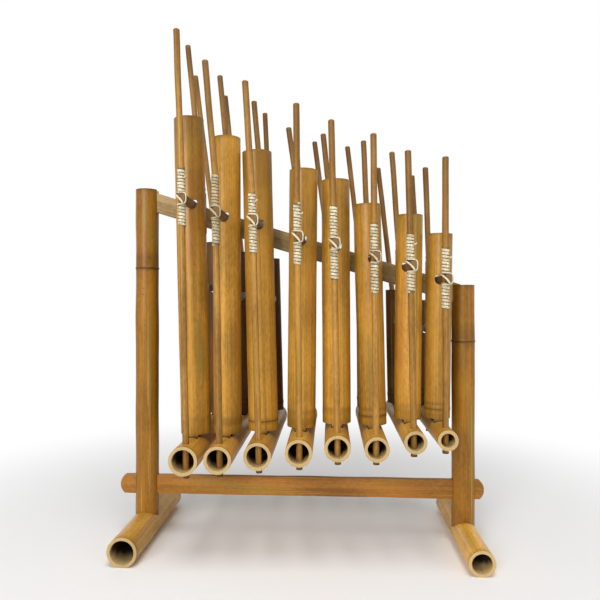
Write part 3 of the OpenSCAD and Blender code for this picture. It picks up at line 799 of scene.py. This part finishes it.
def winding_tree():
    graph = GeometryGraph("winding", WINDING_SIZES)
    size = {label: graph.inlet(label) for label in WINDING_SIZES}
    spiral = graph.node("GeometryNodeCurveSpiral", {}, {
        "Resolution": 28, "Rotations": size["Turns"], "Start Radius": size["Radius"],
        "End Radius": size["Radius"], "Height": size["Turns"] * size["Pitch"]})
    run = graph.node("GeometryNodeSplineParameter", {}, {}, out="Length")
    spiral = graph.node("GeometryNodeStoreNamedAttribute", {"data_type": "FLOAT", "domain": "POINT"},
                        {"Geometry": spiral, "Name": "run", "Value": run})
    shifts = []
    for phase in (0.0, 50.0):
        wave = graph.node("ShaderNodeTexNoise", {"noise_dimensions": "1D"}, {
            "W": run * 55.0 + size["Seed"] + phase, "Scale": 1.0, "Detail": 1.0})
        shifts.append(wave - 0.5)
    position = graph.node("GeometryNodeInputPosition", {}, {})
    outward = graph.node("ShaderNodeVectorMath", {"operation": "MULTIPLY"},
                         {0: position, 1: (1.0, 1.0, 0.0)})
    outward = graph.node("ShaderNodeVectorMath", {"operation": "NORMALIZE"}, {0: outward})
    offset = graph.node("ShaderNodeVectorMath", {"operation": "MULTIPLY"}, {
        0: outward, 1: graph.vector(*[shifts[0] * size["Unevenness"]] * 3)})
    lift = graph.vector(z=shifts[1] * size["Unevenness"] * 2.5)
    offset = graph.node("ShaderNodeVectorMath", {"operation": "ADD"}, {0: offset, 1: lift})
    spiral = graph.node("GeometryNodeSetPosition", {}, {"Geometry": spiral, "Offset": offset})
    spiral = graph.node("GeometryNodeSetCurveNormal", {"mode": "Z_UP"}, {"Curve": spiral})
    flat = graph.node("GeometryNodeCurvePrimitiveQuadrilateral", {"mode": "RECTANGLE"},
                      {"Width": size["Thickness"], "Height": size["Width"]})
    flat = graph.node("GeometryNodeFilletCurve", {"mode": "POLY"},
                      {"Curve": flat, "Count": 2, "Radius": size["Thickness"] * 0.42})
    parts = graph.tree.nodes.new("ShaderNodeSeparateXYZ")
    graph.feed(parts.inputs[0], position)
    # The strip darkens towards its edges: partly dirt, partly painted shade.
    from_middle = Wire(graph, parts.outputs[1]) / (size["Width"] / 2)
    flat = graph.node("GeometryNodeStoreNamedAttribute", {"data_type": "FLOAT", "domain": "POINT"},
                      {"Geometry": flat, "Name": "edge", "Value": from_middle * from_middle})
    strip = graph.node("GeometryNodeCurveToMesh", {},
                       {"Curve": spiral, "Profile Curve": flat, "Fill Caps": True})
    graph.close(strip)
    return graph


STRAND_SIZES = {"Breadth": 1.25 * MM, "Height": 0.9 * MM}


def strand_tree():
    graph = GeometryGraph("strand", STRAND_SIZES, with_path=True)
    line = graph.node("GeometryNodeMeshToCurve", {}, {"Mesh": graph.inlet("Path")})
    line = graph.node("GeometryNodeCurveSplineType", {"spline_type": "CATMULL_ROM"}, {"Curve": line})
    line = graph.node("GeometryNodeResampleCurve", {"mode": "LENGTH"}, {"Curve": line, "Length": 0.7 * MM})
    run = graph.node("GeometryNodeSplineParameter", {}, {}, out="Length")
    line = graph.node("GeometryNodeStoreNamedAttribute", {"data_type": "FLOAT", "domain": "POINT"},
                      {"Geometry": line, "Name": "run", "Value": run})
    round_one = graph.node("GeometryNodeCurvePrimitiveCircle", {}, {"Resolution": 10, "Radius": 1.0})
    oval = graph.node("GeometryNodeTransform", {}, {
        "Geometry": round_one, "Scale": graph.vector(graph.inlet("Breadth"), graph.inlet("Height"), 1.0)})
    strand = graph.node("GeometryNodeCurveToMesh", {},
                        {"Curve": line, "Profile Curve": oval, "Fill Caps": True})
    # Sides that turn away from the front are darkened: painted shade.
    parts = graph.tree.nodes.new("ShaderNodeSeparateXYZ")
    graph.feed(parts.inputs[0], graph.node("GeometryNodeInputNormal", {}, {}))
    facing = (0.0 - Wire(graph, parts.outputs[1])).clipped()
    strand = graph.node("GeometryNodeStoreNamedAttribute", {"data_type": "FLOAT", "domain": "POINT"},
                        {"Geometry": strand, "Name": "edge", "Value": 1.0 - facing})
    graph.close(strand)
    return graph


WINDING_TREE = winding_tree()
STRAND_TREE = strand_tree()
print("rattan trees are ready")


# %% The rattan finish
def rattan(name, pale, dirty, gap):
    material = bpy.data.materials.new(name)
    material.use_nodes = True
    material.node_tree.nodes.clear()
    graph = Graph(material.node_tree)
    run = graph.node("ShaderNodeAttribute", {"attribute_name": "run"}, {}, out="Fac")
    edge = graph.node("ShaderNodeAttribute", {"attribute_name": "edge"}, {}, out="Fac")
    dirt = graph.node("ShaderNodeAttribute", {"attribute_name": "dirt"}, {}, out="Fac")
    place_in = graph.node("ShaderNodeTexCoord", {}, {}, out="Object")
    turn = graph.node("ShaderNodeTexNoise", {"noise_dimensions": "1D"},
                      {"W": run * 70.0, "Scale": 1.0, "Detail": 2.0})
    fleck = graph.node("ShaderNodeTexNoise", {}, {"Vector": place_in, "Scale": 520.0, "Detail": 2.0})
    fibre = graph.node("ShaderNodeTexNoise", {}, {"Vector": place_in, "Scale": 1900.0, "Detail": 1.0})
    darkened = (0.2 + 1.7 * (turn - 0.42) + 1.4 * (fleck - 0.5) + 0.8 * dirt).clipped()
    colour = blend(graph, darkened, pale, dirty)
    # Dark strip edges are dirt and painted shade; the sleeve and the strands' far sides are painted shade.
    colour = blend(graph, smooth_step(graph, edge + 0.5 * (fleck - 0.5), 0.50, 0.92), colour, gap)
    bump = graph.node("ShaderNodeBump", {}, {"Height": 0.6 * fibre + fleck, "Strength": 0.4,
                                             "Distance": 0.3 * MM}, out="Normal")
    shader = graph.node("ShaderNodeBsdfPrincipled", {}, {
        "Base Color": colour, "Roughness": 0.6, "Normal": bump, "Specular IOR Level": 0.3})
    graph.node("ShaderNodeOutputMaterial", {}, {"Surface": shader})
    return material


FINISH["rattan"] = rattan("rattan", (0.80, 0.71, 0.50), (0.42, 0.32, 0.18), (0.12, 0.10, 0.058))

# %% [markdown]
# One piece of rattan for each angklung
#
# All windings and strands of an angklung ride on its frame, so they are gathered in one
# mesh. Strand paths are written once, in millimetres from the crossing of a stick and a bar,
# and turned half around where a bar ends behind its stick.

# %% Gather the rattan
TURN_PITCH = 3.5 * MM
FIRST_STRIP = 5.1 * MM
LOOP = [(-3.9, 1.5, 6.6), (-4.5, -1.5, 6.4), (-2.6, -4.6, 6.1), (0, -5.4, 5.9), (3, -5.4, 5.7),
        (5.3, -5.6, 4.9), (6.3, -5.8, 2.6), (6.4, -5.9, -1), (6.0, -5.8, -4.0), (4.6, -5.5, -5.8),
        (2, -5.2, -6.5), (-1, -4.9, -6.8), (-3.9, -2.5, -7.0)]
DIAGONAL = [(-4.9, -1, 5), (-5.2, -3.5, 3.8), (-4.0, -6.8, 2.6), (-2.2, -8.5, 0.8), (0.2, -8.7, -1.6),
            (2.0, -8.4, -3.8), (3.0, -7.2, -5.6), (3.3, -5.0, -6.8)]
TAG = [(3.6, -2.6, 0), (5.2, -3.4, 0.6), (6.4, -3.2, 1.6)]
TAGGED = (1, 3, 4, 7, 8)
DIRT = {2: 0.75, 6: 0.35}


def path_mesh(points):
    mesh = bpy.data.meshes.new("path")
    edges = [(k, k + 1) for k in range(len(points) - 1)]
    mesh.from_pydata([Vector(p) * MM for p in points], edges, [])
    return mesh


def shade_sleeve(bm, radius, low, high, spot):
    """A dark sleeve under a winding, which shows between its turns: painted shade."""
    made = bmesh.ops.create_cone(bm, cap_ends=True, segments=24, radius1=radius, radius2=radius,
                                 depth=high - low)
    bmesh.ops.translate(bm, verts=made["verts"], vec=spot + Vector((0, 0, (low + high) / 2)))
    edge = bm.verts.layers.float["edge"]
    for v in made["verts"]:
        v[edge] = 1.0


class Rattan:
    """Gathers windings and strands in the axes of one angklung."""

    def __init__(self, place):
        self.place = place
        self.bm = bmesh.new()
        self.bm.verts.layers.float.new("run")
        self.bm.verts.layers.float.new("edge")
        self.seed = 10.0 * place.number

    def add(self, mesh, matrix):
        mesh.transform(matrix)
        self.bm.from_mesh(mesh)
        bpy.data.meshes.remove(mesh)

    def winding(self, spot, low, high):
        self.seed += 1.7
        values = dict(WINDING_SIZES, Turns=(high - low) / TURN_PITCH, Seed=self.seed)
        mesh = grow(WINDING_TREE, values, FINISH["rattan"])
        self.add(mesh, Matrix.Translation(spot + Vector((0, 0, low))) @ Matrix.Rotation(self.seed, 4, "Z"))
        shade_sleeve(self.bm, 3.7 * MM, low, high, spot)

    def strand(self, path, spot, turned=False):
        mesh = grow(STRAND_TREE, STRAND_SIZES, FINISH["rattan"], path_mesh(path))
        self.add(mesh, Matrix.Translation(spot) @ Matrix.Rotation(math.pi if turned else 0, 4, "Z"))

    def joint(self, stick, bar, above, below, turned):
        spot = Vector((0, self.place.stick_y[stick], self.place.bar_z[bar]))
        self.winding(spot, FIRST_STRIP, FIRST_STRIP + above)
        self.winding(spot, -FIRST_STRIP - below, -FIRST_STRIP)
        self.strand(LOOP, spot, turned)
        self.strand(DIAGONAL, spot, turned)
        return spot

    def finish(self):
        bmesh.ops.recalc_face_normals(self.bm, faces=self.bm.faces)
        mesh = bpy.data.meshes.new("rattan")
        self.bm.to_mesh(mesh)
        self.bm.free()
        n = self.place.number
        dirt = mesh.attributes.new("dirt", "FLOAT", "POINT")
        dirt.data.foreach_set("value", [DIRT.get(n, 0.0)] * len(mesh.vertices))
        return place_piece(mesh, f"rattan_{n}", self.place.axes, "rattan", f"frame_{n}",
                           [f"lashings_{n}"])


PLAIN = 6 * TURN_PITCH
for place in places:
    gathered = Rattan(place)
    bar = place.bar_z["large"]
    above = place.wound[0][1] - bar - FIRST_STRIP
    below = bar - place.wound[0][0] - FIRST_STRIP
    spot = gathered.joint(0, "large", above, below, False)
    if place.number in TAGGED:
        gathered.strand(TAG, spot + Vector((0, 0, FIRST_STRIP + 0.62 * above)))
    gathered.joint(1, "large", PLAIN, PLAIN, True)
    gathered.joint(1, "small", PLAIN, PLAIN, False)
    gathered.joint(2, "small", PLAIN, PLAIN, True)
    made = gathered.finish()
print("rattan of the last angklung has", len(made.data.polygons), "faces")

# %% [markdown]
# Floor, backdrop and light
#
# The photograph is a studio picture on white. A pale floor takes a soft shadow, and far from
# the set it gives way to plain white, so there is no horizon. Only rays straight from the
# camera see the white: the other rays see a softer grey, or the bamboo's shaded sides would
# be lit from behind.

# %% Floor
BACKDROP = 1.0
AMBIENT = 0.38


def white_share(graph):
    """1 for rays that come from the camera, a mirror or glass."""
    path = graph.tree.nodes.new("ShaderNodeLightPath")
    rays = [Wire(graph, path.outputs[label]) for label in
            ("Is Camera Ray", "Is Glossy Ray", "Is Transmission Ray")]
    return (rays[0] + rays[1] + rays[2]).clipped()


def floor_finish():
    material = bpy.data.materials.new("floor")
    material.use_nodes = True
    material.node_tree.nodes.clear()
    graph = Graph(material.node_tree)
    shader = graph.node("ShaderNodeBsdfPrincipled", {}, {
        "Base Color": (0.9, 0.9, 0.9, 1.0), "Roughness": 0.7, "Specular IOR Level": 0.1})
    glow = graph.node("ShaderNodeEmission", {}, {"Color": (1.0, 1.0, 1.0, 1.0), "Strength": BACKDROP})
    place_in = graph.node("ShaderNodeTexCoord", {}, {}, out="Object")
    reach = graph.node("ShaderNodeVectorMath", {"operation": "LENGTH"}, {0: place_in}, out="Value")
    path = graph.tree.nodes.new("ShaderNodeLightPath")
    seen = Wire(graph, path.outputs["Is Camera Ray"])
    share = smooth_step(graph, reach, 0.30, 0.75) * seen
    mixed = graph.node("ShaderNodeMixShader", {}, {0: share, 1: shader, 2: glow})
    graph.node("ShaderNodeOutputMaterial", {}, {"Surface": mixed})
    return material


floor_mesh = bpy.data.meshes.new("floor")
reach = 12.0
floor_mesh.from_pydata([(-reach, -reach, 0), (reach, -reach, 0), (reach, reach, 0), (-reach, reach, 0)],
                       [], [(0, 1, 2, 3)])
floor_mesh.materials.append(floor_finish())
floor = bpy.data.objects.new("floor", floor_mesh)
scene.collection.objects.link(floor)
print("floor is laid")

# %% World and lamps
world = bpy.data.worlds.new("studio")
scene.world = world
world.use_nodes = True
world.node_tree.nodes.clear()
sky = Graph(world.node_tree)
level = AMBIENT + (BACKDROP - AMBIENT) * white_share(sky)
background = sky.node("ShaderNodeBackground", {}, {"Color": (1.0, 1.0, 1.0, 1.0), "Strength": level})
sky.node("ShaderNodeOutputWorld", {}, {"Surface": background})
scene.view_settings.view_transform = "Standard"


def lamp(name, power, width, height, spot, aim):
    data = bpy.data.lights.new(name, "AREA")
    data.shape = "RECTANGLE"
    data.size = width
    data.size_y = height
    data.energy = power
    made = bpy.data.objects.new(name, data)
    made.location = spot
    made.rotation_euler = (Vector(aim) - Vector(spot)).to_track_quat("-Z", "Y").to_euler()
    scene.collection.objects.link(made)


lamp("key", 41.0, 1.1, 1.1, (-0.8, -2.4, 0.95), (0, 0, 0.25))
lamp("fill", 8.0, 1.6, 1.6, (1.9, -1.6, 0.7), (0, 0, 0.2))
lamp("top", 22.0, 1.0, 1.0, (0.1, -0.8, 2.2), (0, -0.05, 0.0))
print("world level", BACKDROP, "for the camera and", AMBIENT, "for other rays")
